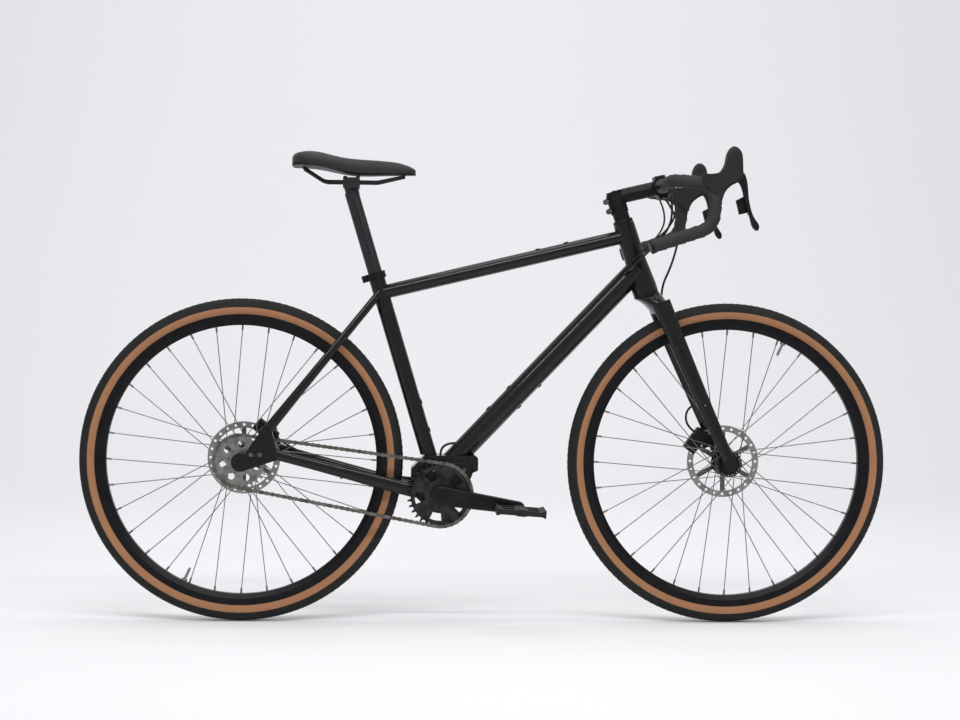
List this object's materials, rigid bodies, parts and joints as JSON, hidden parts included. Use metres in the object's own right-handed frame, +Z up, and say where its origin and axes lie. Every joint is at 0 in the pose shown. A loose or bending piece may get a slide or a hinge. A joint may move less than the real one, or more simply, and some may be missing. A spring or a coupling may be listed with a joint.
{
  "type": "gravel bicycle",
  "caption": "Gravel bicycle with drop bars, gearbox at the cranks, chain drive, disc brakes and tan wall tyres.",
  "frame": {"origin": "on the ground under the middle of the wheelbase", "axes": "+X forward, +Y to the rider's left, +Z up"},
  "size_m": [1.765, 0.516, 1.0279],
  "materials": {
    "frame_paint": "gloss black paint",
    "fork_paint": "gloss black paint on moulded carbon",
    "tyre": "black tread, tan wall",
    "rim": "black anodised",
    "hub": "black anodised",
    "spoke": "bright stainless wire",
    "rotor": "ground steel",
    "bearing": "steel",
    "axle": "black anodised",
    "chain": "grey brown steel",
    "sprocket": "plated steel",
    "crank": "black anodised",
    "pedal": "black moulded",
    "gearbox": "dark cast, painted",
    "post": "dark grey anodised",
    "saddle_cover": "black, low sheen",
    "saddle_shell": "black moulded",
    "rail": "black plated",
    "stem": "black anodised",
    "bar": "black anodised",
    "tape": "charcoal bar tape",
    "hood": "black rubber",
    "lever": "black anodised",
    "caliper": "black anodised",
    "brake_pad": "moulded lining",
    "line": "black sleeve",
    "bolt": "dark steel"
  },
  "bodies": {
    "frame": {"top_tube": "frame_paint", "down_tube": "frame_paint", "seat_tube": "frame_paint", "head_tube": "frame_paint", "chain_stays": "frame_paint", "seat_stays": "frame_paint", "dropouts": "frame_paint", "gearbox_cradle": "frame_paint", "gearbox_housing": "gearbox", "gearbox_cover": "gearbox", "headset_bearings": "bearing", "seat_clamp": "hub", "rear_caliper": "caliper", "rear_axle": "axle", "frame_bolts": "bolt", "control_lines": "line", "chain": "chain"},
    "seat": {"seatpost": "post", "rail_clamp": "post", "saddle_rails": "rail", "saddle_shell": "saddle_shell", "saddle_pad": "saddle_cover"},
    "fork": {"fork": "fork_paint", "headset_stack": "hub", "stem": "stem", "stem_faceplate": "stem", "stem_bolts": "bolt", "handlebar": "bar", "bar_tape": "tape", "hood_right": "hood", "hood_left": "hood", "front_caliper": "caliper", "front_brake_hose": "line", "front_axle": "axle"},
    "front_wheel": {"front_tyre": "tyre", "front_rim": "rim", "front_spokes": "spoke", "front_hub": "hub", "front_bearings": "bearing", "front_rotor": "rotor"},
    "rear_wheel": {"rear_tyre": "tyre", "rear_rim": "rim", "rear_spokes": "spoke", "rear_hub": "hub", "rear_bearings": "bearing", "rear_rotor": "rotor"},
    "sprocket": {"rear_sprocket": "sprocket"},
    "crankset": {"crank_right": "crank", "crank_left": "crank"},
    "chainring": {"chainring": "sprocket"},
    "pedal_right": {"pedal_right": "pedal"},
    "pedal_left": {"pedal_left": "pedal"},
    "lever_right": {"brake_lever_right": "lever"},
    "lever_left": {"brake_lever_left": "lever"},
    "paddle_right": {"shift_paddle_right": "lever"},
    "paddle_left": {"shift_paddle_left": "lever"},
    "front_pad_right": {"front_pad_right": "brake_pad"},
    "front_pad_left": {"front_pad_left": "brake_pad"},
    "rear_pad_right": {"rear_pad_right": "brake_pad"},
    "rear_pad_left": {"rear_pad_left": "brake_pad"}
  },
  "joints": [
    {"name": "seat_height", "type": "slide", "parent": "frame", "child": "seat", "axis": [-0.2907, 0, 0.9568], "range_m": [-0.06, 0.04]},
    {"name": "steering", "type": "hinge", "parent": "frame", "child": "fork", "pos_m": [0.47934, 0, 0.33355], "axis": [-0.3173, 0, 0.9483], "range_deg": [-60, 60], "deforming": ["control_lines"]},
    {"name": "front_wheel_spin", "type": "hinge", "parent": "fork", "child": "front_wheel", "pos_m": [0.5315, 0, 0.351], "axis": [0, 1, 0], "continuous": true},
    {"name": "rear_wheel_spin", "type": "hinge", "parent": "frame", "child": "rear_wheel", "pos_m": [-0.5315, 0, 0.351], "axis": [0, 1, 0], "continuous": true},
    {"name": "crank_spin", "type": "hinge", "parent": "frame", "child": "crankset", "pos_m": [-0.09915, 0, 0.281], "axis": [0, 1, 0], "continuous": true, "deforming": ["chain"]},
    {"name": "chainring_spin", "type": "hinge", "parent": "frame", "child": "chainring", "pos_m": [-0.09915, 0, 0.281], "axis": [0, 1, 0], "continuous": true},
    {"name": "sprocket_spin", "type": "hinge", "parent": "frame", "child": "sprocket", "pos_m": [-0.5315, 0, 0.351], "axis": [0, 1, 0], "continuous": true},
    {"name": "pedal_right_spin", "type": "hinge", "parent": "crankset", "child": "pedal_right", "pos_m": [0.06899, 0, 0.25587], "axis": [0, 1, 0], "continuous": true},
    {"name": "pedal_left_spin", "type": "hinge", "parent": "crankset", "child": "pedal_left", "pos_m": [-0.26728, 0, 0.30613], "axis": [0, 1, 0], "continuous": true},
    {"name": "brake_lever_right", "type": "hinge", "parent": "fork", "child": "lever_right", "pos_m": [0.508, -0.217, 0.972], "axis": [0, 1, 0], "range_deg": [0, 20], "stiffness_Nm_per_rad": 1.2, "springref_deg": -5.73},
    {"name": "brake_lever_left", "type": "hinge", "parent": "fork", "child": "lever_left", "pos_m": [0.508, 0.217, 0.972], "axis": [0, 1, 0], "range_deg": [0, 20], "stiffness_Nm_per_rad": 1.2, "springref_deg": -5.73},
    {"name": "shift_paddle_right", "type": "hinge", "parent": "lever_right", "child": "paddle_right", "pos_m": [0.524, -0.2071, 0.928], "axis": [0.2425, 0, -0.9701], "range_deg": [0, 18], "stiffness_Nm_per_rad": 0.15, "springref_deg": -5.73},
    {"name": "shift_paddle_left", "type": "hinge", "parent": "lever_left", "child": "paddle_left", "pos_m": [0.524, 0.2071, 0.928], "axis": [-0.2425, 0, 0.9701], "range_deg": [0, 18], "stiffness_Nm_per_rad": 0.15, "springref_deg": -5.73},
    {"name": "front_pad_right_slide", "type": "slide", "parent": "fork", "child": "front_pad_right", "axis": [0, 1, 0], "range_m": [0, 0.0003]},
    {"name": "front_pad_left_slide", "type": "slide", "parent": "fork", "child": "front_pad_left", "axis": [0, -1, 0], "range_m": [0, 0.0003]},
    {"name": "rear_pad_right_slide", "type": "slide", "parent": "frame", "child": "rear_pad_right", "axis": [0, 1, 0], "range_m": [0, 0.0003]},
    {"name": "rear_pad_left_slide", "type": "slide", "parent": "frame", "child": "rear_pad_left", "axis": [0, -1, 0], "range_m": [0, 0.0003]}
  ],
  "couplings": [
    {"joint": "chainring_spin", "follows": "crank_spin", "ratio": 1},
    {"joint": "sprocket_spin", "follows": "crank_spin", "ratio": 1.2143},
    {"joint": "front_pad_right_slide", "follows": "brake_lever_left", "m_per_rad": 0.00085944},
    {"joint": "front_pad_left_slide", "follows": "brake_lever_left", "m_per_rad": 0.00085944},
    {"joint": "rear_pad_right_slide", "follows": "brake_lever_right", "m_per_rad": 0.00085944},
    {"joint": "rear_pad_left_slide", "follows": "brake_lever_right", "m_per_rad": 0.00085944}
  ]
}
